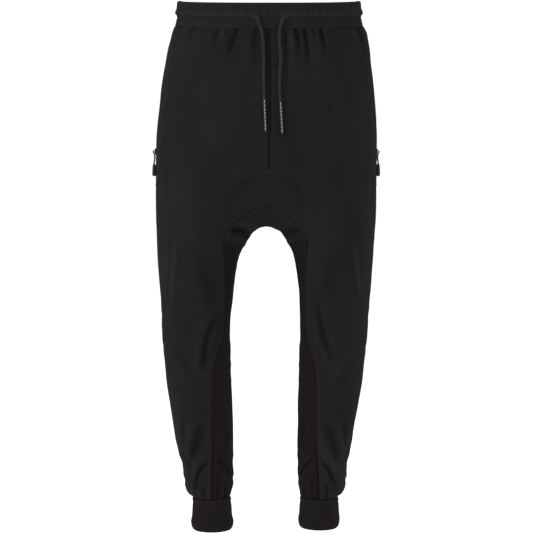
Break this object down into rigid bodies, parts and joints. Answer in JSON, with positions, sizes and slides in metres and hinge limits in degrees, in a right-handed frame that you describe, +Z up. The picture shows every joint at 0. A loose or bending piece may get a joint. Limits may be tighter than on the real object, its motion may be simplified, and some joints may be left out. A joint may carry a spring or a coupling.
{
  "type": "joggers, filled out with no wearer",
  "caption": "Black drop-crotch joggers with a gathered drawcord waist, side zip pockets, an inner leg panel and ribbed cuffs, in worn shape.",
  "frame": {"origin": "middle of the waist opening, level with the top of the waistband at the sides, where the wearer holds the garment up", "axes": "+Z up along the body, -Y to the front of the garment, +X to the wearer's left"},
  "size_m": [0.4301, 0.2835, 0.9982],
  "materials": {
    "body_cloth": "matt black stretch twill with a soft sheen",
    "inner_cloth": "matt black stretch cloth, a little darker",
    "band_cloth": "black cloth gathered over elastic",
    "rib_knit": "fine black rib knit",
    "zip_tape": "woven black zip tape with coil teeth",
    "zip_metal": "black enamelled metal",
    "pull_rubber": "moulded black rubber",
    "cord_braid": "round black braid",
    "cord_tip": "dipped black rubber with plain pale dashes"
  },
  "bodies": {
    "root": {"waistband": "band_cloth", "front_left": "body_cloth", "front_right": "body_cloth", "back_left": "body_cloth", "back_right": "body_cloth", "inner_panel": "inner_cloth", "cuff_left": "rib_knit", "cuff_right": "rib_knit", "pocket_facing_left": "body_cloth", "pocket_facing_right": "body_cloth", "zip_tape_left": "zip_tape", "zip_tape_right": "zip_tape", "slider_left": "zip_metal", "slider_right": "zip_metal", "drawcord_left": "cord_braid", "drawcord_right": "cord_braid", "cord_tip_left": "cord_tip", "cord_tip_right": "cord_tip"},
    "pull_left": {"pull_loop_left": "cord_braid", "pull_grip_left": "pull_rubber"},
    "pull_right": {"pull_loop_right": "cord_braid", "pull_grip_right": "pull_rubber"}
  },
  "joints": [
    {"name": "pull_left_swing", "type": "hinge", "parent": "root", "child": "pull_left", "pos_m": [0.20664, 0.002, -0.284], "axis": [0, -1, 0], "range_deg": [0, 150]},
    {"name": "pull_right_swing", "type": "hinge", "parent": "root", "child": "pull_right", "pos_m": [-0.21728, 0.002, -0.284], "axis": [0, 1, 0], "range_deg": [0, 150]}
  ]
}
